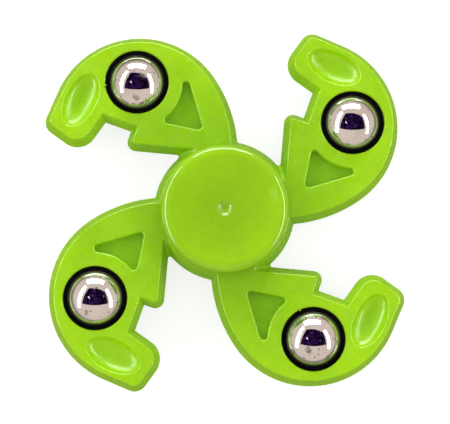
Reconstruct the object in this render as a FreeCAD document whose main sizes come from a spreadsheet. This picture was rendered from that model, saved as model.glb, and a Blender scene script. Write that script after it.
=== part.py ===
"""Four-armed fidget spinner: a moulded frame with steel weight balls, spinning on a 608 bearing.

Millimetres. The origin is on the spin axis at mid-thickness, +Z runs along the spin axis and
+X points at the centre of weight_ball_1. Seen from +Z, the arms hook anticlockwise.
"""
import FreeCAD, Part
import math
import os

import Sketcher

ARMS = 4
RACE_BALLS = 7

SIZES = {
    # spinner frame
    "frame_thickness": 5.5,
    "draft_run": 1.05,
    "rim_round": 0.35,
    "root_round": 0.5,
    "hub_radius": 12.65,
    "orbit_radius": 28.0,
    # arm outline at mid-thickness, for the arm along +X
    "back_x": 21.3,
    "back_y": 4.0,
    "back_radius": 16.2,
    "trail_radius": 25.0,
    "trail_end_x": 4.6,
    "tip_outer_x": 30.3,
    "tip_outer_y": 15.75,
    "tip_outer_radius": 2.3,
    "tip_inner_x": 27.6,
    "tip_inner_y": 13.4,
    "tip_inner_radius": 3.6,
    "notch_top_x": 25.5,
    "notch_top_y": 8.7,
    "notch_low_x": 21.5,
    "notch_low_y": 5.8,
    "barb_x": 19.3,
    "barb_y": 6.15,
    "barb_radius": 1.55,
    "root_x": 9.4,
    "root_y": -3.4,
    # pockets in both faces of each arm
    "pocket_depth": 2.0,
    "pocket_draft": 6.0,
    "web_gap": 8.2,
    "web_corner_radius": 0.7,
    "web_hub_x": 15.2,
    "web_hub_y": -4.65,
    "web_barb_y": -0.85,
    "web_back_y": -7.05,
    "oval_x": 31.0,
    "oval_y": 10.2,
    "oval_long": 5.05,
    "oval_short": 2.7,
    "oval_depth": 1.9,
    "oval_angle": -60.0,
    # weight balls and their seat rings
    "weight_ball_radius": 5.5,
    "hole_radius": 5.7,
    "seat_bead_radius": 6.2,
    "seat_bead_half_height": 1.5,
    "seat_half_height": 2.55,
    "seat_clearance": 0.02,
    # 608 bearing
    "bearing_radius": 11.0,
    "bearing_half_width": 3.5,
    "bearing_bore_radius": 4.0,
    "bearing_round": 0.3,
    "pitch_radius": 7.5,
    "race_ball_radius": 1.9845,
    "race_radius": 2.06,
    "race_clearance": 0.03,
    "outer_shoulder": 8.85,
    "inner_shoulder": 6.1,
    "shield_seat_radius": 9.6,
    "shield_seat_z": 2.75,
    "shield_inner_radius": 6.35,
    "shield_sheet": 0.3,
    "shield_top": 3.35,
    "cage_inner_radius": 6.45,
    "cage_outer_radius": 8.55,
    "cage_sheet": 0.3,
    "cage_clearance": 0.06,
    "rivet_radius": 0.3,
    "rivet_head_radius": 0.5,
    "rivet_head_height": 0.18,
    # finger caps
    "cap_radius": 11.35,
    "cap_base": 4.0,
    "cap_top": 6.6,
    "cap_corner": 1.5,
    "cap_land_inner": 9.6,
    "cap_land_round": 0.25,
    "cap_dish_depth": 1.15,
    "dimple_radius": 1.3,
    "dimple_depth": 0.55,
    "dimple_round": 0.3,
    "cap_boss_radius": 5.6,
    "cap_stem_end": 0.3,
    "cap_stem_chamfer": 0.4,
    "gate_angle": 140.6,
    "gate_radius": 0.45,
    "gate_height": 0.9,
}

HUB_SEAM = -25.0  # degrees; the cone's seam is turned to lie inside an arm
SLACK = 1.0  # how far a cutting sketch reaches past the faces it cuts
NEAR = 1e-3  # lengths closer than this count as equal
LOOP_SPREAD = 1.0  # how far a rim's own centre may lie from the place it is looked for

doc = FreeCAD.newDocument("fidget_spinner")
sheet = doc.addObject("Spreadsheet::Sheet", "Sizes")
for row, (alias, number) in enumerate(SIZES.items(), start=1):
    sheet.set(f"A{row}", alias)
    sheet.set(f"B{row}", str(number))
    sheet.setAlias(f"B{row}", alias)
doc.recompute()


def value(expression):
    """Number that an expression of the sheet's cells gives now."""
    result = sheet.evalExpression(expression)
    return float(getattr(result, "Value", result))


def size(alias):
    return f"<<Sizes>>.{alias}"


def new_body(name):
    body = doc.addObject("PartDesign::Body", name)
    body.Label = name
    return body


def origin_plane(body, role):
    return next(item for item in body.Origin.OriginFeatures if item.Role == role)


def new_sketch(body, name, plane):
    """Sketch on one of the body's own origin planes."""
    sketch = body.newObject("Sketcher::SketchObject", name)
    sketch.AttachmentSupport = [(origin_plane(body, plane), "")]
    sketch.MapMode = "FlatFace"
    return sketch


def constrain(sketch, expression, kind, *picks):
    """Add a dimension that reads its value from an expression."""
    index = sketch.addConstraint(Sketcher.Constraint(kind, *picks, value(expression)))
    sketch.setExpression(f"Constraints[{index}]", expression)


def place_point(sketch, geometry, corner, x_expression, y_expression):
    constrain(sketch, x_expression, "DistanceX", -1, 1, geometry, corner)
    constrain(sketch, y_expression, "DistanceY", -1, 1, geometry, corner)


def draw_polygon(sketch, corners):
    """Closed outline of straight runs whose corners are pairs of expressions."""
    points = [FreeCAD.Vector(value(x), value(y), 0) for x, y in corners]
    sides = []
    for start, end in zip(points, points[1:] + points[:1]):
        sides.append(sketch.addGeometry(Part.LineSegment(start, end)))
    for side, following in zip(sides, sides[1:] + sides[:1]):
        sketch.addConstraint(Sketcher.Constraint("Coincident", side, 2, following, 1))
    for side, (x, y) in zip(sides, corners):
        place_point(sketch, side, 1, x, y)


def draw_circle(sketch, radius, x="0", y="0"):
    centre = FreeCAD.Vector(value(x), value(y), 0)
    circle = sketch.addGeometry(Part.Circle(centre, FreeCAD.Vector(0, 0, 1), value(radius)))
    place_point(sketch, circle, 3, x, y)
    constrain(sketch, radius, "Radius", circle)


def revolved_body(name, corners):
    """Body turned about its Z axis from an outline of (radius, height) expressions."""
    body = new_body(name)
    profile = new_sketch(body, f"{name}_profile", "XZ_Plane")
    draw_polygon(profile, corners)
    turn = body.newObject("PartDesign::Revolution", f"{name}_turn")
    turn.Profile = profile
    turn.ReferenceAxis = (profile, ["V_Axis"])
    turn.Angle = 360
    profile.Visibility = False
    doc.recompute()
    return body


def level_edges(feature, heights, radius):
    """Names of the feature's level circles at the given heights and of the given radius."""
    names = []
    for number, edge in enumerate(feature.Shape.Edges, start=1):
        box = edge.BoundBox
        level = box.ZLength < NEAR and any(abs(box.ZMin - height) < NEAR for height in heights)
        if level and abs(edge.Length - 2 * math.pi * radius) < NEAR:
            names.append(f"Edge{number}")
    return names


def loop_edges(feature, height, reach):
    """Names of the edges of the level loops at that height that are centred reach from the Z axis."""
    picked = []
    for face in feature.Shape.Faces:
        box = face.BoundBox
        if box.ZLength > NEAR or abs(box.ZMin - height) > NEAR:
            continue
        for wire in face.Wires:
            centre = wire.CenterOfMass
            if abs(math.hypot(centre.x, centre.y) - reach) < LOOP_SPREAD:
                picked.extend(wire.Edges)
    numbered = enumerate(feature.Shape.Edges, start=1)
    return [f"Edge{number}" for number, edge in numbered if any(edge.isSame(other) for other in picked)]


def root_edges(feature):
    """Names of the slanting edges where the arms' sides meet the hub."""
    hub, run, half = value(size("hub_radius")), value(size("draft_run")), value(size("frame_thickness")) / 2
    names = []
    for number, edge in enumerate(feature.Shape.Edges, start=1):
        centre = edge.CenterOfMass
        on_hub = hub - run < math.hypot(centre.x, centre.y) < hub
        if on_hub and edge.BoundBox.ZLength > half - NEAR:
            names.append(f"Edge{number}")
    return names


def round_edges(body, name, radius, edges):
    base = body.Tip
    fillet = body.newObject("PartDesign::Fillet", name)
    fillet.Base = (base, edges)
    fillet.setExpression("Radius", radius)
    doc.recompute()


# ---------------------------------------------------------------- plane geometry


def tangent_angle(first, second):
    """Direction from both centres to the outer tangent line that keeps both circles on its left."""
    (x1, y1, r1), (x2, y2, r2) = first, second
    distance = math.hypot(x2 - x1, y2 - y1)
    heading = math.atan2(y2 - y1, x2 - x1)
    return heading - math.acos((r1 - r2) / distance)


def arc_between(circle, start_angle, end_angle):
    centre = FreeCAD.Vector(circle[0], circle[1], 0)
    whole = Part.Circle(centre, FreeCAD.Vector(0, 0, 1), circle[2])
    return Part.ArcOfCircle(whole, start_angle, end_angle)


def point_at(circle, angle):
    x, y, radius = circle
    return FreeCAD.Vector(x + radius * math.cos(angle), y + radius * math.sin(angle), 0)


def circle_of(name):
    return tuple(value(size(f"{name}_{part}")) for part in ("x", "y", "radius"))


def dot(name):
    return (value(size(f"{name}_x")), value(size(f"{name}_y")), 0.0)


# ---------------------------------------------------------------- spinner frame


def draw_arm_outline(sketch):
    """Pinwheel arm: hooked back, rounded tip, stepped notch, barb and straight leading edge."""
    back, tip_outer = circle_of("back"), circle_of("tip_outer")
    tip_inner, barb = circle_of("tip_inner"), circle_of("barb")
    notch_top, notch_low, root = dot("notch_top"), dot("notch_low"), dot("root")
    trail_radius = value(size("trail_radius"))
    trail = (back[0], back[1] - back[2] + trail_radius, trail_radius)
    down = -math.pi / 2
    trail_start = math.acos((value(size("trail_end_x")) - trail[0]) / trail_radius)

    to_tip = tangent_angle(back, tip_outer)
    across_tip = tangent_angle(tip_outer, tip_inner)
    to_notch = tangent_angle(tip_inner, notch_top)
    to_barb = tangent_angle(notch_low, barb)
    to_root = tangent_angle(barb, root)

    def line(start, end):
        return sketch.addGeometry(Part.LineSegment(start, end))

    def arc(circle, start, end):
        return sketch.addGeometry(arc_between(circle, start, end))

    trail_arc = arc(trail, -trail_start, down)
    back_arc = arc(back, down, to_tip)
    tip_line = line(point_at(back, to_tip), point_at(tip_outer, to_tip))
    tip_outer_arc = arc(tip_outer, to_tip, across_tip)
    top_line = line(point_at(tip_outer, across_tip), point_at(tip_inner, across_tip))
    tip_inner_arc = arc(tip_inner, across_tip, to_notch)
    mouth_line = line(point_at(tip_inner, to_notch), point_at(notch_top, 0))
    notch_line = line(point_at(notch_top, 0), point_at(notch_low, 0))
    barb_line = line(point_at(notch_low, 0), point_at(barb, to_barb))
    barb_arc = arc(barb, to_barb, to_root)
    leading_line = line(point_at(barb, to_root), point_at(root, 0))
    closing_line = line(point_at(root, 0), point_at(trail, -trail_start))

    smooth = [trail_arc, back_arc, tip_line, tip_outer_arc, top_line, tip_inner_arc, mouth_line]
    for first, second in zip(smooth, smooth[1:]):
        sketch.addConstraint(Sketcher.Constraint("Tangent", first, 2, second, 1))
    for first, second in ((barb_line, barb_arc), (barb_arc, leading_line)):
        sketch.addConstraint(Sketcher.Constraint("Tangent", first, 2, second, 1))
    sharp = [mouth_line, notch_line, barb_line]
    for first, second in zip(sharp, sharp[1:]):
        sketch.addConstraint(Sketcher.Constraint("Coincident", first, 2, second, 1))
    sketch.addConstraint(Sketcher.Constraint("Coincident", leading_line, 2, closing_line, 1))
    sketch.addConstraint(Sketcher.Constraint("Coincident", closing_line, 2, trail_arc, 1))

    constrain(sketch, size("trail_radius"), "Radius", trail_arc)
    constrain(sketch, size("back_x"), "DistanceX", -1, 1, trail_arc, 3)
    constrain(sketch, size("trail_end_x"), "DistanceX", -1, 1, trail_arc, 1)
    rounds = {"back": back_arc, "tip_outer": tip_outer_arc, "tip_inner": tip_inner_arc, "barb": barb_arc}
    for name, geometry in rounds.items():
        place_point(sketch, geometry, 3, size(f"{name}_x"), size(f"{name}_y"))
        constrain(sketch, size(f"{name}_radius"), "Radius", geometry)
    for name, geometry in {"notch_top": mouth_line, "notch_low": notch_line, "root": leading_line}.items():
        place_point(sketch, geometry, 2, size(f"{name}_x"), size(f"{name}_y"))


def draw_web_outline(sketch):
    """Three-cornered pocket: two straight sides, and a third that runs round the ball hole."""
    corner = value(size("web_corner_radius"))
    orbit = value(size("orbit_radius"))
    gap = value(size("web_gap"))

    def beside_hole(alias):
        y = value(size(alias))
        return (orbit - math.sqrt((gap + corner) ** 2 - y ** 2), y, corner)

    hub_end = (value(size("web_hub_x")), value(size("web_hub_y")), corner)
    barb_end = beside_hole("web_barb_y")
    back_end = beside_hole("web_back_y")
    below = tangent_angle(hub_end, back_end)
    above = tangent_angle(barb_end, hub_end)
    back_facing = math.atan2(-back_end[1], orbit - back_end[0])
    barb_facing = math.atan2(-barb_end[1], orbit - barb_end[0])

    lower = sketch.addGeometry(Part.LineSegment(point_at(hub_end, below), point_at(back_end, below)))
    back_arc = sketch.addGeometry(arc_between(back_end, below, back_facing))
    hole = (orbit, 0.0, gap)
    round_side = sketch.addGeometry(arc_between(hole, barb_facing + math.pi, back_facing + math.pi))
    barb_arc = sketch.addGeometry(arc_between(barb_end, barb_facing, above))
    upper = sketch.addGeometry(Part.LineSegment(point_at(barb_end, above), point_at(hub_end, above)))
    hub_arc = sketch.addGeometry(arc_between(hub_end, above, below))

    joins = (
        (lower, 2, back_arc, 1),
        (back_arc, 2, round_side, 2),
        (round_side, 1, barb_arc, 1),
        (barb_arc, 2, upper, 1),
        (upper, 2, hub_arc, 1),
        (hub_arc, 2, lower, 1),
    )
    for join in joins:
        sketch.addConstraint(Sketcher.Constraint("Tangent", *join))
    place_point(sketch, round_side, 3, size("orbit_radius"), "0")
    constrain(sketch, size("web_gap"), "Radius", round_side)
    place_point(sketch, hub_arc, 3, size("web_hub_x"), size("web_hub_y"))
    constrain(sketch, size("web_barb_y"), "DistanceY", -1, 1, barb_arc, 3)
    constrain(sketch, size("web_back_y"), "DistanceY", -1, 1, back_arc, 3)
    for geometry in (hub_arc, barb_arc, back_arc):
        constrain(sketch, size("web_corner_radius"), "Radius", geometry)


def draft_arm(body, pad):
    """Lean the arm's sides in from mid-thickness towards the face, as the mould does."""
    sides = [f"Face{number}" for number, face in enumerate(pad.Shape.Faces, start=1)
             if face.BoundBox.ZLength > NEAR]
    draft = body.newObject("PartDesign::Draft", "arm_draft")
    draft.Base = (pad, sides)
    draft.NeutralPlane = (origin_plane(body, "XY_Plane"), [""])
    draft.setExpression("Angle", f"atan({size('draft_run')} / ({size('frame_thickness')} / 2))")
    doc.recompute()


def cut_ball_hole(body):
    """Hole for a weight ball, wider at mid-thickness, where it holds the seat ring's bead."""
    sketch = new_sketch(body, "ball_hole_profile", "XZ_Plane")
    orbit = size("orbit_radius")
    bore = f"{orbit} + {size('hole_radius')}"
    band = f"{orbit} + {size('seat_bead_radius')}"
    bead_top = size("seat_bead_half_height")
    lip = f"{bead_top} + {size('seat_bead_radius')} - {size('hole_radius')}"
    reach = f"{size('frame_thickness')} / 2 + {SLACK}"
    below = f"-{SLACK}"
    corners = [(orbit, below), (orbit, reach), (bore, reach), (bore, lip), (band, bead_top), (band, below)]
    draw_polygon(sketch, corners)
    groove = body.newObject("PartDesign::Groove", "ball_hole")
    groove.Profile = sketch
    groove.ReferenceAxis = (sketch, ["Edge1"])
    groove.Angle = 360
    doc.recompute()


def cut_web_pocket(body):
    """Blind three-cornered pocket between the hub and the ball hole."""
    sketch = new_sketch(body, "web_pocket_outline", "XY_Plane")
    draw_web_outline(sketch)
    sketch.setExpression("AttachmentOffset.Base.z", f"{size('frame_thickness')} / 2")
    pocket = body.newObject("PartDesign::Pocket", "web_pocket")
    pocket.Profile = sketch
    pocket.setExpression("Length", size("pocket_depth"))
    pocket.setExpression("TaperAngle", f"-{size('pocket_draft')}")
    doc.recompute()


def cut_oval_dish(body):
    """Half-ellipsoid dish in the arm's tip."""
    dish = body.newObject("PartDesign::SubtractiveEllipsoid", "oval_dish")
    dish.setExpression("Radius1", size("oval_depth"))
    dish.setExpression("Radius2", size("oval_long"))
    dish.setExpression("Radius3", size("oval_short"))
    x, y = value(size("oval_x")), value(size("oval_y"))
    turn = FreeCAD.Rotation(FreeCAD.Vector(0, 0, 1), value(size("oval_angle")))
    dish.Placement = FreeCAD.Placement(FreeCAD.Vector(x, y, value(size("frame_thickness")) / 2), turn)
    doc.recompute()


def whole_body_copy(body, kind, name, settings):
    """Repeat everything the body holds so far, by a pattern or a mirror."""
    copy = body.newObject(f"PartDesign::{kind}", name)
    copy.TransformMode = "Whole shape"
    for key, setting in settings.items():
        setattr(copy, key, setting)
    body.Tip = copy
    doc.recompute()


def make_spinner_frame():
    """The upper half is built first, then mirrored in the plane at mid-thickness."""
    body = new_body("spinner_frame")
    half = value(size("frame_thickness")) / 2
    arm_sketch = new_sketch(body, "arm_outline", "XY_Plane")
    draw_arm_outline(arm_sketch)
    arm = body.newObject("PartDesign::Pad", "arm_plate")
    arm.Profile = arm_sketch
    arm.setExpression("Length", f"{size('frame_thickness')} / 2")
    doc.recompute()
    draft_arm(body, arm)
    cut_ball_hole(body)
    cut_web_pocket(body)
    cut_oval_dish(body)
    about_spin_axis = {"Axis": (arm_sketch, ["N_Axis"]), "Angle": 360, "Occurrences": ARMS}
    whole_body_copy(body, "PolarPattern", "arms", about_spin_axis)

    hub = body.newObject("PartDesign::AdditiveCone", "hub")
    hub.setExpression("Radius1", size("hub_radius"))
    hub.setExpression("Radius2", f"{size('hub_radius')} - {size('draft_run')}")
    hub.setExpression("Height", f"{size('frame_thickness')} / 2")
    hub.Placement.Rotation = FreeCAD.Rotation(FreeCAD.Vector(0, 0, 1), HUB_SEAM)
    doc.recompute()

    round_edges(body, "arm_roots", size("root_round"), root_edges(hub))
    orbit = value(size("orbit_radius"))
    rims = {
        "outline_rim": 0.0,
        "ball_hole_rims": orbit,
        "web_pocket_rims": orbit - value(size("web_gap")),
        "oval_rims": math.hypot(value(size("oval_x")), value(size("oval_y"))),
    }
    for name, reach in rims.items():
        round_edges(body, name, size("rim_round"), loop_edges(body.Tip, half, reach))
    bore = body.newObject("PartDesign::SubtractiveCylinder", "bearing_bore")
    bore.setExpression("Radius", size("bearing_radius"))
    bore.setExpression("Height", size("frame_thickness"))
    doc.recompute()
    mirror_plane = {"MirrorPlane": (origin_plane(body, "XY_Plane"), [""])}
    whole_body_copy(body, "Mirrored", "lower_half", mirror_plane)
    return body


# ---------------------------------------------------------------- weight balls and seats


def make_weight_ball(number, angle):
    ball = doc.addObject("Part::Sphere", f"weight_ball_{number}")
    ball.Label = ball.Name
    ball.setExpression("Radius", size("weight_ball_radius"))
    put_on_circle(ball, size("orbit_radius"), angle)
    return ball


def put_on_circle(item, radius, angle):
    """Place an object on a circle about the spin axis; the angle is in degrees."""
    item.setExpression("Placement.Base.x", f"{radius} * cos({angle} deg)")
    item.setExpression("Placement.Base.y", f"{radius} * sin({angle} deg)")


def make_seat_ring(number, angle):
    """Rubber ring with an outer bead for the frame's groove and a round seat for the ball."""
    name = f"ball_seat_ring_{number}"
    outer = f"{size('hole_radius')} - {size('seat_clearance')}"
    bead = f"{size('seat_bead_radius')} - {size('seat_clearance')}"
    bead_top = size("seat_bead_half_height")
    shoulder = f"{bead_top} + {size('seat_bead_radius')} - {size('hole_radius')}"
    top = size("seat_half_height")
    inner = f"{size('weight_ball_radius')} - {SLACK}"
    upper = [(inner, top), (outer, top), (outer, shoulder), (bead, bead_top)]
    lower = [(x, f"-({y})") for x, y in reversed(upper)]
    body = revolved_body(name, upper + lower)
    seat = body.newObject("PartDesign::SubtractiveSphere", f"{name}_seat")
    seat.setExpression("Radius", f"{size('weight_ball_radius')} + {size('seat_clearance')}")
    doc.recompute()
    put_on_circle(body, size("orbit_radius"), angle)
    return body


# ---------------------------------------------------------------- bearing


def cut_race(body, name, offset):
    """Ball groove: a torus about the spin axis, its centre line moved from the pitch circle."""
    race = body.newObject("PartDesign::SubtractiveTorus", name)
    race.setExpression("Radius1", f"{size('pitch_radius')} + {offset}")
    race.setExpression("Radius2", size("race_radius"))
    doc.recompute()


def race_offset():
    return f"({size('race_radius')} - {size('race_ball_radius')} - {size('race_clearance')})"


def make_outer_ring():
    rim, half = size("bearing_radius"), size("bearing_half_width")
    seat, seat_z, shoulder = size("shield_seat_radius"), size("shield_seat_z"), size("outer_shoulder")
    upper = [(shoulder, seat_z), (seat, seat_z), (seat, half), (rim, half)]
    lower = [(x, f"-({y})") for x, y in reversed(upper)]
    body = revolved_body("bearing_outer_ring", upper + lower)
    cut_race(body, "outer_race", f"-{race_offset()}")
    height = value(half)
    edges = level_edges(body.Tip, (height, -height), value(rim))
    round_edges(body, "outer_ring_corners", size("bearing_round"), edges)
    return body


def make_inner_ring():
    bore, shoulder, half = size("bearing_bore_radius"), size("inner_shoulder"), size("bearing_half_width")
    corners = [(bore, f"-{half}"), (shoulder, f"-{half}"), (shoulder, half), (bore, half)]
    body = revolved_body("bearing_inner_ring", corners)
    cut_race(body, "inner_race", race_offset())
    height = value(half)
    edges = level_edges(body.Tip, (height, -height), value(bore))
    round_edges(body, "inner_ring_corners", size("bearing_round"), edges)
    return body


def make_race_ball(number, angle):
    ball = doc.addObject("Part::Sphere", f"bearing_ball_{number}")
    ball.Label = ball.Name
    ball.setExpression("Radius", size("race_ball_radius"))
    put_on_circle(ball, size("pitch_radius"), angle)
    return ball


def cut_rivet_hole(body, name, angle):
    """Hole that starts one sheet below the flange and ends one sheet above it."""
    hole = body.newObject("PartDesign::SubtractiveCylinder", f"{name}_rivet_hole")
    hole.setExpression("Radius", f"{size('rivet_radius')} + {size('seat_clearance')}")
    hole.setExpression("Height", f"{size('cage_sheet')} * 3")
    hole.Placement.Base = FreeCAD.Vector(
        value(size("pitch_radius")) * math.cos(math.radians(angle)),
        value(size("pitch_radius")) * math.sin(math.radians(angle)),
        -value(size("cage_sheet")),
    )
    return hole


def make_cage_half(name, flipped):
    """Pressed half of the ball cage: a flat ring with a domed pocket over each ball."""
    body = new_body(name)
    flange_sketch = new_sketch(body, f"{name}_flange_outline", "XY_Plane")
    draw_circle(flange_sketch, size("cage_outer_radius"))
    flange = body.newObject("PartDesign::Pad", f"{name}_flange")
    flange.Profile = flange_sketch
    flange.setExpression("Length", size("cage_sheet"))
    doc.recompute()

    dome = body.newObject("PartDesign::AdditiveSphere", f"{name}_dome")
    inside = f"{size('race_ball_radius')} + {size('cage_clearance')}"
    dome.setExpression("Radius", f"{inside} + {size('cage_sheet')}")
    dome.Angle1 = 0
    dome.Placement.Base.x = value(size("pitch_radius"))
    hollow = body.newObject("PartDesign::SubtractiveSphere", f"{name}_hollow")
    hollow.setExpression("Radius", inside)
    hollow.Placement.Base.x = value(size("pitch_radius"))
    rivet_hole = cut_rivet_hole(body, name, 180 / RACE_BALLS)
    doc.recompute()

    pockets = body.newObject("PartDesign::PolarPattern", f"{name}_pockets")
    pockets.Originals = [dome, hollow, rivet_hole]
    pockets.Axis = (flange_sketch, ["N_Axis"])
    pockets.Angle = 360
    pockets.Occurrences = RACE_BALLS
    body.Tip = pockets
    doc.recompute()

    trims = {"bore": ("cage_inner_radius",), "trim": ("cage_outer_radius", "bearing_radius")}
    for part, radii in trims.items():
        sketch = new_sketch(body, f"{name}_{part}_outline", "XY_Plane")
        for radius in radii:
            draw_circle(sketch, size(radius))
        cut = body.newObject("PartDesign::Pocket", f"{name}_{part}")
        cut.Profile = sketch
        cut.Type = "ThroughAll"
        cut.Midplane = True
        doc.recompute()
    if flipped:
        body.Placement.Rotation = FreeCAD.Rotation(FreeCAD.Vector(1, 0, 0), 180)
    return body


def make_cage_rivets():
    """Seven rivets that join the cage halves, as separate solids in one piece."""
    shank, head = size("rivet_radius"), size("rivet_head_radius")
    under, top = size("cage_sheet"), f"{size('cage_sheet')} + {size('rivet_head_height')}"
    upper = [("0", top), (shank, top), (head, under), (shank, under)]
    lower = [(x, f"-({y})") for x, y in reversed(upper)]
    rivets = []
    for number in range(1, RACE_BALLS + 1):
        rivet = revolved_body(f"cage_rivet_{number}", upper + lower)
        put_on_circle(rivet, size("pitch_radius"), (number - 0.5) * 360 / RACE_BALLS)
        rivets.append(rivet)
    group = doc.addObject("Part::Compound", "cage_rivets")
    group.Label = group.Name
    group.Links = rivets
    return group


def make_shield(name, flipped):
    """Pressed washer that closes the bearing, its inner rim turned in towards the balls."""
    inner, sheet_thickness, top = size("shield_inner_radius"), size("shield_sheet"), size("shield_top")
    outer = f"{size('shield_seat_radius')} - {size('seat_clearance')}"
    under = f"{top} - {sheet_thickness}"
    lip = f"{under} - {sheet_thickness}"
    corners = [
        (inner, lip),
        (f"{inner} + {sheet_thickness}", lip),
        (f"{inner} + {sheet_thickness}", under),
        (outer, under),
        (outer, top),
        (inner, top),
    ]
    body = revolved_body(name, corners)
    if flipped:
        body.Placement.Rotation = FreeCAD.Rotation(FreeCAD.Vector(1, 0, 0), 180)
    return body


# ---------------------------------------------------------------- finger caps


def bowl_radius(rim, depth):
    """Radius of the sphere that cuts a bowl of this rim radius and depth."""
    return f"(({rim}) ^ 2 + ({depth}) ^ 2) / (2 * ({depth}))"


def cut_bowl(body, name, rim, depth, level):
    bowl = body.newObject("PartDesign::SubtractiveSphere", name)
    radius = bowl_radius(rim, depth)
    bowl.setExpression("Radius", radius)
    bowl.Placement.Base.z = value(f"{level} - {depth} + {radius}")
    doc.recompute()


def make_cap(name, flipped):
    """Finger cap: dished disc with a flat lip, and a stem that presses into the bearing bore."""
    rim, base, top = size("cap_radius"), size("cap_base"), size("cap_top")
    stem, boss = size("bearing_bore_radius"), size("cap_boss_radius")
    end, chamfer, face = size("cap_stem_end"), size("cap_stem_chamfer"), size("bearing_half_width")
    corners = [
        ("0", end),
        (f"{stem} - {chamfer}", end),
        (stem, f"{end} + {chamfer}"),
        (stem, face),
        (boss, face),
        (boss, base),
        (rim, base),
        (rim, top),
        ("0", top),
    ]
    body = revolved_body(name, corners)
    gate = body.newObject("PartDesign::AdditiveCylinder", f"{name}_gate_mark")
    gate.setExpression("Radius", size("gate_radius"))
    gate.setExpression("Height", size("gate_height"))
    gate_angle = math.radians(value(size("gate_angle")))
    gate.Placement.Base = FreeCAD.Vector(
        value(rim) * math.cos(gate_angle), value(rim) * math.sin(gate_angle), value(base)
    )
    doc.recompute()
    crown = level_edges(body.Tip, (value(top),), value(rim))
    round_edges(body, f"{name}_crown", size("cap_corner"), crown)

    dish_rim, dish_depth = size("cap_land_inner"), size("cap_dish_depth")
    cut_bowl(body, f"{name}_dish", dish_rim, dish_depth, top)
    lip = level_edges(body.Tip, (value(top),), value(dish_rim))
    round_edges(body, f"{name}_lip", size("cap_land_round"), lip)

    floor = f"({top} - {dish_depth})"
    dish_radius = bowl_radius(dish_rim, dish_depth)
    dimple_level = f"({floor} + {dish_radius} - sqrt(({dish_radius}) ^ 2 - {size('dimple_radius')} ^ 2))"
    cut_bowl(body, f"{name}_dimple", size("dimple_radius"), size("dimple_depth"), dimple_level)
    mouth = level_edges(body.Tip, (value(dimple_level),), value(size("dimple_radius")))
    round_edges(body, f"{name}_dimple_mouth", size("dimple_round"), mouth)
    if flipped:
        body.Placement.Rotation = FreeCAD.Rotation(FreeCAD.Vector(1, 0, 0), 180)
    return body


# ---------------------------------------------------------------- assembly


def make_spinner():
    pieces = [
        make_spinner_frame(),
        make_cap("top_cap", False),
        make_cap("bottom_cap", True),
        make_outer_ring(),
        make_inner_ring(),
        make_shield("bearing_shield_top", False),
        make_shield("bearing_shield_bottom", True),
        make_cage_half("cage_top", False),
        make_cage_half("cage_bottom", True),
        make_cage_rivets(),
    ]
    for number in range(1, RACE_BALLS + 1):
        pieces.append(make_race_ball(number, (number - 1) * 360 / RACE_BALLS))
    for number in range(1, ARMS + 1):
        angle = (number - 1) * 360 / ARMS
        pieces.append(make_weight_ball(number, angle))
        pieces.append(make_seat_ring(number, angle))
    return pieces


def check_document(pieces):
    doc.recompute()
    for item in doc.Objects:
        if "Invalid" in item.State or "Error" in item.State:
            raise RuntimeError(f"{item.Name} failed: {item.State}")
    for piece in pieces:
        if piece.Shape.isNull() or not piece.Shape.isValid() or not piece.Shape.Solids:
            raise RuntimeError(f"{piece.Label} has no valid solid")


def export(pieces):
    os.makedirs("parts", exist_ok=True)
    for piece in pieces:
        piece.Shape.exportStep(f"parts/{piece.Label}.step")
        box = piece.Shape.BoundBox
        print(f"{piece.Label:24} solids {len(piece.Shape.Solids)}  volume {piece.Shape.Volume:9.2f}"
              f"  z {box.ZMin:6.2f} to {box.ZMax:5.2f}")


parts = make_spinner()
check_document(parts)
export(parts)
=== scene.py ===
"""The looks of a four-armed fidget spinner: lime plastic, polished steel balls and black rubber seats.

Lengths are in metres, in the frame of the CAD model: the spin axis is Z and the origin is the hub's centre.
"""

import math

import bmesh
import bpy
from mathutils import Matrix, Vector


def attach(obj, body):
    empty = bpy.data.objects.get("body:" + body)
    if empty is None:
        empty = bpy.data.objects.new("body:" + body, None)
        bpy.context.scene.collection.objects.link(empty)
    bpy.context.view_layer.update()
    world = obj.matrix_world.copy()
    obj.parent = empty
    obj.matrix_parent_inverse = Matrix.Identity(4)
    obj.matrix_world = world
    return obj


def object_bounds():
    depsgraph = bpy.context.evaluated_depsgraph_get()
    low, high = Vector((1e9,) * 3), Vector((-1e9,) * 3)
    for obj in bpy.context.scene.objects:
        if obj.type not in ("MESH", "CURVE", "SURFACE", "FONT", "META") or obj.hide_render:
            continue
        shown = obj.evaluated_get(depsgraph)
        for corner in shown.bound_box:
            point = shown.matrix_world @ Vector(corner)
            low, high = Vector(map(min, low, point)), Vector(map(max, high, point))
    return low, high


MM = 0.001

# The camera looks almost straight down the spin axis. CAMERA_UP is the angle from +X to the view's up.
CAMERA_PLACE = Vector((-17.0, -16.8, 270.4)) * MM
CAMERA_TARGET = Vector((0.1, -0.4, 0.0)) * MM
CAMERA_UP = math.radians(55.57)
LENS = 120.0  # millimetres, as is the sensor's width
SENSOR = 36.0
SHIFT = (-0.0025, 0.0011)

# Lamps as (name, direction, long side's direction, long side, short side, power, glare). The directions are
# right, up and towards the camera; the sides and the power are for a lamp one metre away; glare is how bright
# the lamp's face looks in a mirror.
LAMP_DISTANCE = 1.0
LAMPS = (
    ("softbox_top", (-0.02, 0.954, 0.30), (1.0, 0.0, 0.0), 0.96, 0.32, 3.2, 18.0),
    ("softbox_left", (-0.84, 0.15, 0.52), (0.26, 0.96, 0.08), 1.45, 0.19, 3.6, 18.0),
    ("softbox_right", (0.86, 0.03, 0.51), (-0.13, 0.97, 0.19), 1.20, 0.16, 3.4, 18.0),
    ("spot_lamp", (-0.38, 0.10, 0.92), (0.6, -0.8, 0.0), 0.16, 0.05, 1.0, 1.5),
)

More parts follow.
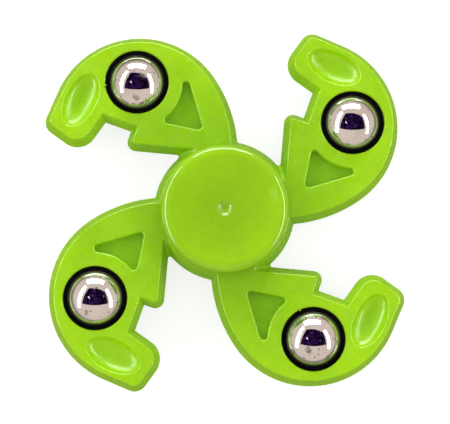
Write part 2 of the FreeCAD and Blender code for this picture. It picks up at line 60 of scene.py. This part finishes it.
# The dark opening round the camera as (right, up) for one metre away, wide below and narrow above.
DARK_DISTANCE = 1.1
DARK_CORNERS = ((-1.18, -0.41), (1.22, -0.43), (0.86, 0.66), (0.16, 0.86), (-0.56, 0.95))

# The studio above and below the horizon: the walls as mirrors see them, and the soft light on all else.
WALL_COLOUR = (0.88, 0.77, 0.69)
LOW_WALL_COLOUR = (0.30, 0.28, 0.24)
SKY_COLOUR = (0.80, 0.80, 0.80)
LOW_SKY_COLOUR = (0.12, 0.12, 0.12)
HORIZON = (-0.1, 0.05)  # the heights of a direction's tip between which low turns into high

FLOOR_COLOUR = (0.40, 0.40, 0.39)
FLOOR_GLOW = 0.75
FLOOR_HALF = 3.0

PARTING_RADIUS = 0.05 * MM
WELD = 1e-7  # points closer than this are one point

# Crumbs of plastic on the rims of two of the balls' holes, as (ball, angle in degrees).
NUBS = (("weight_ball_2", 151.8), ("weight_ball_4", 80.4))
NUB_OUT = 5.8 * MM
NUB_HEIGHT = 2.72 * MM
NUB_RADIUS = 0.2 * MM
NUB_STRETCH = 1.6


# ---------------------------------------------------------------- shader helpers


def make_node(tree, kind, values=None, **properties):
    """A shader node with its properties and its input values set."""
    node = tree.nodes.new(kind)
    for name, value in properties.items():
        setattr(node, name, value)
    for name, value in (values or {}).items():
        node.inputs[name].default_value = value
    return node


def new_material(name, values):
    """A material whose Principled shader has these uniform values, as (material, tree, shader)."""
    material = bpy.data.materials.new(name)
    material.use_nodes = True
    tree = material.node_tree
    shader = tree.nodes["Principled BSDF"]
    for socket, value in values.items():
        shader.inputs[socket].default_value = value
    return material, tree, shader


def place_on_piece(tree, stretch=(1.0, 1.0, 1.0)):
    """The point on the piece in metres, with each coordinate times its stretch."""
    place = make_node(tree, "ShaderNodeTexCoord")
    mapping = make_node(tree, "ShaderNodeMapping", {"Scale": stretch})
    tree.links.new(place.outputs["Object"], mapping.inputs["Vector"])
    return mapping.outputs["Vector"]


def noise(tree, place, grain, detail=2.0):
    """Noise with features about grain metres across."""
    texture = make_node(tree, "ShaderNodeTexNoise", {"Scale": 1.0 / grain, "Detail": detail})
    tree.links.new(place, texture.inputs["Vector"])
    return texture.outputs["Fac"]


def spread(tree, value, low, high, to_low, to_high):
    """Maps value from low...high to to_low...to_high, held at the ends."""
    ends = {"From Min": low, "From Max": high, "To Min": to_low, "To Max": to_high}
    mapped = make_node(tree, "ShaderNodeMapRange", ends)
    tree.links.new(value, mapped.inputs["Value"])
    return mapped.outputs["Result"]


def combine(tree, operation, first, second):
    """A Math node over two values; the second may be a plain number."""
    node = make_node(tree, "ShaderNodeMath", operation=operation)
    tree.links.new(first, node.inputs[0])
    if isinstance(second, float):
        node.inputs[1].default_value = second
    else:
        tree.links.new(second, node.inputs[1])
    return node.outputs["Value"]


def blend_colours(tree, share, first, second):
    """Goes from the first colour to the second as share goes from 0 to 1."""
    mix = make_node(tree, "ShaderNodeMix", data_type="RGBA")
    tree.links.new(share, mix.inputs["Factor"])
    for socket, colour in (("A_Color", first), ("B_Color", second)):
        target = next(entry for entry in mix.inputs if entry.identifier == socket)
        if isinstance(colour, tuple):
            target.default_value = (*colour, 1.0)
        else:
            tree.links.new(colour, target)
    return next(entry for entry in mix.outputs if entry.identifier == "Result_Color")


def specks(tree, place, spacing, radius, share):
    """1 on round specks of that radius, in a share of cells with that spacing, and 0 off them."""
    cells = make_node(tree, "ShaderNodeTexVoronoi", {"Scale": 1.0 / spacing})
    tree.links.new(place, cells.inputs["Vector"])
    edge = radius / spacing
    dot = spread(tree, cells.outputs["Distance"], 0.6 * edge, edge, 1.0, 0.0)
    chosen = combine(tree, "LESS_THAN", cells.outputs["Color"], share)
    return combine(tree, "MULTIPLY", dot, chosen)


def add_bump(tree, shader, height, depth, normal=None):
    """Raises the surface by depth metres where height is 1."""
    bump = make_node(tree, "ShaderNodeBump", {"Strength": 1.0, "Distance": depth})
    tree.links.new(height, bump.inputs["Height"])
    if normal is not None:
        tree.links.new(normal, bump.inputs["Normal"])
    tree.links.new(bump.outputs["Normal"], shader.inputs["Normal"])
    return bump.outputs["Normal"]


# ---------------------------------------------------------------- materials


def moulded_plastic(name, light, deep_tone_and_painted_shade, painted_shade_radii, roughness, speck_share):
    """Glossy, slightly translucent moulded plastic, with soft flow marks, a fine skin and dust specks.

    Its colour carries painted shade: darker inside the first of the two given distances from the spin axis
    and lighter outside the second.
    """
    values = {
        "Subsurface Weight": 0.2,
        "Subsurface Radius": (0.8, 1.0, 0.1),
        "Subsurface Scale": 1.0 * MM,
        "IOR": 1.49,
        "Specular IOR Level": 0.35,
    }
    material, tree, shader = new_material(name, values)
    place = place_on_piece(tree)
    from_axis = make_node(tree, "ShaderNodeVectorMath", operation="LENGTH")
    tree.links.new(place_on_piece(tree, (1.0, 1.0, 0.0)), from_axis.inputs[0])
    # Painted shade: the colour is darker towards the spin axis and lighter further out.
    painted_light_outward = spread(tree, from_axis.outputs["Value"], *painted_shade_radii, 0.0, 0.8)
    flow = spread(tree, noise(tree, place, 9 * MM), 0.35, 0.65, -0.2, 0.2)
    mottle = spread(tree, noise(tree, place, 1.1 * MM, 4.0), 0.3, 0.7, -0.15, 0.15)
    share = combine(tree, "ADD", combine(tree, "ADD", painted_light_outward, flow), mottle)
    plastic = blend_colours(tree, share, deep_tone_and_painted_shade, light)
    dust = specks(tree, place, 5 * MM, 0.2 * MM, speck_share)
    colour = blend_colours(tree, dust, plastic, (0.03, 0.06, 0.01))
    tree.links.new(colour, shader.inputs["Base Color"])
    scuffs = noise(tree, place, 2.4 * MM, 5.0)
    polish = spread(tree, scuffs, 0.3, 0.7, 0.75 * roughness, 1.25 * roughness)
    tree.links.new(polish, shader.inputs["Roughness"])
    ripple = add_bump(tree, shader, noise(tree, place, 5 * MM, 1.0), 0.05 * MM)
    add_bump(tree, shader, noise(tree, place, 0.25 * MM, 2.0), 0.002 * MM, ripple)
    return material


def polished_ball():
    """Mirror steel with faint wear, dark specks and smears, and painted shade where the ball meets its seat
    ring.
    """
    # The dark specular tint is painted shade on the ball's grazing reflections.
    values = {"Metallic": 1.0, "Specular Tint": (0.25, 0.25, 0.2, 1.0)}
    material, tree, shader = new_material("polished_steel_ball", values)
    place = place_on_piece(tree)
    cloud = spread(tree, noise(tree, place, 4 * MM, 3.0), 0.3, 0.7, 0.0, 1.0)
    steel = blend_colours(tree, cloud, (0.62, 0.58, 0.56), (0.74, 0.70, 0.68))
    dirt = specks(tree, place, 1.0 * MM, 0.24 * MM, 0.5)
    smear = spread(tree, noise(tree, place, 2.2 * MM, 6.0), 0.60, 0.68, 0.0, 0.8)
    heights = make_node(tree, "ShaderNodeSeparateXYZ")
    tree.links.new(place, heights.inputs["Vector"])
    from_middle = combine(tree, "ABSOLUTE", heights.outputs["Z"], 0.0)
    # Painted shade: the band round the ball's middle, where it sits in its seat, is darkened.
    painted_seat_shade = spread(tree, from_middle, 2.9 * MM, 3.6 * MM, 0.75, 0.0)
    dirt_and_smear = combine(tree, "MAXIMUM", combine(tree, "MULTIPLY", dirt, 0.6), smear)
    # The marks carry the dirt, the smears and the painted seat shade.
    marks = combine(tree, "MAXIMUM", dirt_and_smear, painted_seat_shade)
    tree.links.new(blend_colours(tree, marks, steel, (0.10, 0.09, 0.05)), shader.inputs["Base Color"])
    tree.links.new(spread(tree, marks, 0.0, 1.0, 0.05, 0.4), shader.inputs["Roughness"])
    add_bump(tree, shader, noise(tree, place, 0.7 * MM, 3.0), 0.002 * MM)
    return material


def black_rubber():
    """Matt black rubber with a fine grain and paler dust."""
    material, tree, shader = new_material("black_rubber", {"Specular IOR Level": 0.03})
    place = place_on_piece(tree)
    grain = noise(tree, place, 0.2 * MM, 4.0)
    dust = specks(tree, place, 0.9 * MM, 0.07 * MM, 0.15)
    colour = blend_colours(tree, dust, (0.0006, 0.0006, 0.0006), (0.004, 0.004, 0.004))
    tree.links.new(colour, shader.inputs["Base Color"])
    tree.links.new(spread(tree, grain, 0.3, 0.7, 0.5, 0.75), shader.inputs["Roughness"])
    add_bump(tree, shader, grain, 0.01 * MM)
    return material


def machined_steel(name, dark, light, roughness, grain, depth):
    """Ground or pressed steel: a tone that drifts, fine marks of that grain and a trace of oil."""
    material, tree, shader = new_material(name, {"Metallic": 1.0})
    place = place_on_piece(tree)
    tone = spread(tree, noise(tree, place, 3 * MM, 3.0), 0.3, 0.7, 0.0, 1.0)
    oil = spread(tree, noise(tree, place, 1.5 * MM, 4.0), 0.6, 0.7, 0.0, 0.5)
    steel = blend_colours(tree, tone, dark, light)
    tree.links.new(blend_colours(tree, oil, steel, (0.30, 0.25, 0.18)), shader.inputs["Base Color"])
    marks = noise(tree, place_on_piece(tree, (1.0, 1.0, 12.0)), grain, 3.0)
    polish = spread(tree, marks, 0.3, 0.7, 0.7 * roughness, 1.3 * roughness)
    tree.links.new(polish, shader.inputs["Roughness"])
    add_bump(tree, shader, marks, depth)
    return material


def make_materials():
    """Every material, under the name of its slot in the record."""
    plastics = {
        # In each plastic, the second colour and the two distances from the spin axis paint shade towards the
        # spin axis.
        "lime_plastic": ((0.37, 0.70, 0.001), (0.26, 0.54, 0.0002), (14 * MM, 30 * MM), 0.30, 0.15),
        "lime_plastic_cap": ((0.33, 0.62, 0.012), (0.26, 0.49, 0.012), (2 * MM, 10 * MM), 0.07, 0.3),
    }
    steels = {
        "bearing_steel": ((0.55, 0.55, 0.56), (0.66, 0.66, 0.67), 0.22, 0.4 * MM, 0.003 * MM),
        "shield_steel": ((0.50, 0.50, 0.50), (0.62, 0.61, 0.60), 0.35, 0.3 * MM, 0.004 * MM),
        "cage_steel": ((0.48, 0.46, 0.43), (0.58, 0.56, 0.52), 0.40, 0.3 * MM, 0.005 * MM),
        "race_ball_steel": ((0.66, 0.66, 0.67), (0.74, 0.74, 0.75), 0.08, 0.8 * MM, 0.001 * MM),
    }
    made = {name: machined_steel(name, *values) for name, values in steels.items()}
    made.update({name: moulded_plastic(name, *values) for name, values in plastics.items()})
    made["polished_steel_ball"] = polished_ball()
    made["black_rubber"] = black_rubber()
    return made


SLOT_OF = {
    "spinner_frame": "lime_plastic",
    "top_cap": "lime_plastic_cap",
    "bottom_cap": "lime_plastic_cap",
    "weight_ball": "polished_steel_ball",
    "ball_seat_ring": "black_rubber",
    "bearing_outer_ring": "bearing_steel",
    "bearing_inner_ring": "bearing_steel",
    "bearing_shield": "shield_steel",
    "cage": "cage_steel",
    "bearing_ball": "race_ball_steel",
}


def dress_nodes(nodes, materials):
    """Gives every CAD node its material."""
    for name, node in nodes.items():
        slot = next(value for start, value in SLOT_OF.items() if name.startswith(start))
        node.data.materials.clear()
        node.data.materials.append(materials[slot])


# ---------------------------------------------------------------- moulding details


def outline_points(frame_node):
    """Closed loops of points where the mould's parting plane, z = 0, cuts the frame, longest loop first."""
    mesh = bmesh.new()
    mesh.from_mesh(frame_node.data)
    bmesh.ops.remove_doubles(mesh, verts=mesh.verts, dist=WELD)
    geometry = mesh.verts[:] + mesh.edges[:] + mesh.faces[:]
    cut = bmesh.ops.bisect_plane(mesh, geom=geometry, dist=WELD, plane_co=(0, 0, 0), plane_no=(0, 0, 1))
    # A dict keeps the order of the cut, so every run starts its loops at the same points.
    edges = dict.fromkeys(item for item in cut["geom_cut"] if isinstance(item, bmesh.types.BMEdge))
    loops = []
    while edges:
        edge, _ = edges.popitem()
        start, here = edge.verts
        points = [start.co.copy(), here.co.copy()]
        while True:
            following = next((item for item in here.link_edges if item in edges), None)
            if following is None:
                break
            del edges[following]
            here = following.other_vert(here)
            points.append(here.co.copy())
        loops.append(points[:-1])
    mesh.free()
    return sorted(loops, key=len, reverse=True)


def make_parting_line(frame_node, material):
    """The fine ridge that the two halves of the mould leave round the outside of the arms."""
    points = outline_points(frame_node)[0]
    curve = bpy.data.curves.new("parting_line", "CURVE")
    curve.dimensions = "3D"
    curve.bevel_depth = PARTING_RADIUS
    curve.bevel_resolution = 2
    spline = curve.splines.new("POLY")
    spline.points.add(len(points) - 1)
    for point, place in zip(spline.points, points):
        point.co = (*place, 1.0)
    spline.use_cyclic_u = True
    curve.materials.append(material)
    line = bpy.data.objects.new("parting_line", curve)
    bpy.context.collection.objects.link(line)
    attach(line, "rotor")


def make_nub(ball, angle, number, material):
    """A crumb of plastic that the mould leaves on the rim of a ball's hole, at that angle round the ball."""
    corners = [Vector(corner) for corner in ball.bound_box]
    centre = ball.matrix_world @ (sum(corners, Vector()) / len(corners))
    rim = Vector((math.cos(angle), math.sin(angle), 0.0)) * NUB_OUT + Vector((0.0, 0.0, NUB_HEIGHT))
    mesh = bmesh.new()
    bmesh.ops.create_icosphere(mesh, subdivisions=3, radius=NUB_RADIUS)
    for vertex in mesh.verts:
        vertex.co.x *= NUB_STRETCH
    data = bpy.data.meshes.new(f"moulding_nub_{number}")
    mesh.to_mesh(data)
    mesh.free()
    data.shade_smooth()
    data.materials.append(material)
    nub = bpy.data.objects.new(f"moulding_nub_{number}", data)
    nub.location = Vector((centre.x, centre.y, 0.0)) + rim
    nub.rotation_euler.z = angle
    bpy.context.collection.objects.link(nub)
    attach(nub, "rotor")


# ---------------------------------------------------------------- studio


def view_frame():
    """Turns right, up and towards the camera into the model's axes."""
    back = (CAMERA_PLACE - CAMERA_TARGET).normalized()
    right = Vector((math.cos(CAMERA_UP), math.sin(CAMERA_UP), 0.0)).cross(back).normalized()
    up = back.cross(right)
    return Matrix((right, up, back)).transposed()


def make_camera(axes):
    """The scene's camera, looking down at the spinner."""
    camera = bpy.data.cameras.new("camera")
    camera.sensor_width = SENSOR
    camera.lens = LENS
    camera.shift_x, camera.shift_y = SHIFT
    placed = bpy.data.objects.new("camera", camera)
    placed.matrix_world = Matrix.Translation(CAMERA_PLACE) @ axes.to_4x4()
    bpy.context.collection.objects.link(placed)
    bpy.context.scene.camera = placed


def link_card(name, points, material):
    """A flat card that only reflections see."""
    mesh = bpy.data.meshes.new(name)
    mesh.from_pydata(points, [], [range(len(points))])
    mesh.materials.append(material)
    card = bpy.data.objects.new(name, mesh)
    card.visible_camera = False
    card.visible_diffuse = False
    card.visible_shadow = False
    card.visible_transmission = False
    bpy.context.collection.objects.link(card)


def make_lamp(axes, name, direction, long_way, long_side, short_side, power, glare):
    """A rectangular lamp that faces the spinner: a soft light, and the bright face that mirrors see."""
    facing = (axes @ Vector(direction)).normalized()
    across = facing.cross(axes @ Vector(long_way)).normalized()
    along = across.cross(facing)
    centre = CAMERA_TARGET + facing * LAMP_DISTANCE
    light = bpy.data.lights.new(name, "AREA")
    light.shape = "RECTANGLE"
    light.size = long_side
    light.size_y = short_side
    light.energy = power * math.pi * long_side * short_side
    placed = bpy.data.objects.new(name, light)
    turned = Matrix((along, facing.cross(along), facing)).transposed().to_4x4()
    placed.matrix_world = Matrix.Translation(centre) @ turned
    placed.visible_camera = False
    placed.visible_glossy = False
    bpy.context.collection.objects.link(placed)
    corners = ((-0.5, -0.5), (0.5, -0.5), (0.5, 0.5), (-0.5, 0.5))
    points = [centre + along * (x * long_side) + across * (y * short_side) for x, y in corners]
    shine = {"Emission Color": (1.0, 1.0, 1.0, 1.0), "Emission Strength": glare}
    material, _, _ = new_material(f"{name}_face", shine)
    link_card(f"{name}_face", points, material)


def make_dark_card(axes):
    """The dark opening round the camera, with the dim shapes of the room in it."""
    points = [CAMERA_TARGET + axes @ Vector((x, y, 1.0)) * DARK_DISTANCE for x, y in DARK_CORNERS]
    unlit = {"Base Color": (0.0, 0.0, 0.0, 1.0), "Specular IOR Level": 0.0, "Emission Strength": 1.0}
    material, tree, shader = new_material("dark_card", unlit)
    cloud = spread(tree, noise(tree, place_on_piece(tree), 0.3, 3.0), 0.45, 0.65, 0.0, 1.0)
    colour = blend_colours(tree, cloud, (0.003, 0.0, 0.01), (0.05, 0.012, 0.13))
    tree.links.new(colour, shader.inputs["Emission Color"])
    link_card("dark_card", points, material)


def make_floor(height):
    """A pale, softly glowing table, so the spinner's shadow on it is faint."""
    mesh = bpy.data.meshes.new("floor")
    corners = [(x * FLOOR_HALF, y * FLOOR_HALF, height) for x, y in ((-1, -1), (1, -1), (1, 1), (-1, 1))]
    mesh.from_pydata(corners, [], [range(len(corners))])
    values = {
        "Roughness": 0.8,
        "Emission Color": (1.0, 1.0, 1.0, 1.0),
        "Emission Strength": FLOOR_GLOW,
        "Base Color": (*FLOOR_COLOUR, 1.0),
    }
    material, _, _ = new_material("floor", values)
    mesh.materials.append(material)
    floor = bpy.data.objects.new("floor", mesh)
    floor.visible_glossy = False
    floor.visible_diffuse = False
    bpy.context.collection.objects.link(floor)


def make_world():
    """Soft white light, mostly from above, which mirrors see as the warm grey walls of the studio."""
    world = bpy.data.worlds.new("studio")
    world.use_nodes = True
    tree = world.node_tree
    background = tree.nodes["Background"]
    rays = make_node(tree, "ShaderNodeLightPath")
    direction = make_node(tree, "ShaderNodeTexCoord")
    height = make_node(tree, "ShaderNodeSeparateXYZ")
    tree.links.new(direction.outputs["Generated"], height.inputs["Vector"])
    above = spread(tree, height.outputs["Z"], *HORIZON, 0.0, 1.0)
    wall = blend_colours(tree, above, LOW_WALL_COLOUR, WALL_COLOUR)
    sky = blend_colours(tree, above, LOW_SKY_COLOUR, SKY_COLOUR)
    colour = blend_colours(tree, rays.outputs["Is Glossy Ray"], sky, wall)
    tree.links.new(colour, background.inputs["Color"])
    background.inputs["Strength"].default_value = 1.0
    bpy.context.scene.world = world


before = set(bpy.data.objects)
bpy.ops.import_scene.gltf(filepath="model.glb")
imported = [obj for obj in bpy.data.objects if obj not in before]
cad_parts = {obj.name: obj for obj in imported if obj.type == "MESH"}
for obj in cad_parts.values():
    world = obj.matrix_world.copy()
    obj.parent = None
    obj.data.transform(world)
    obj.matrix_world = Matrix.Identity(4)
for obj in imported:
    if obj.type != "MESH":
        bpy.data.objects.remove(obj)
cad_low, cad_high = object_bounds()

materials = make_materials()
dress_nodes(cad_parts, materials)
make_parting_line(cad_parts["spinner_frame"], materials["lime_plastic"])

for number, (ball, angle) in enumerate(NUBS, start=1):
    make_nub(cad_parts[ball], math.radians(angle), number, materials["lime_plastic"])

axes = view_frame()
make_camera(axes)
for lamp in LAMPS:
    make_lamp(axes, *lamp)
make_dark_card(axes)
make_floor(cad_low.z)
make_world()
bpy.context.scene.view_settings.view_transform = "Standard"
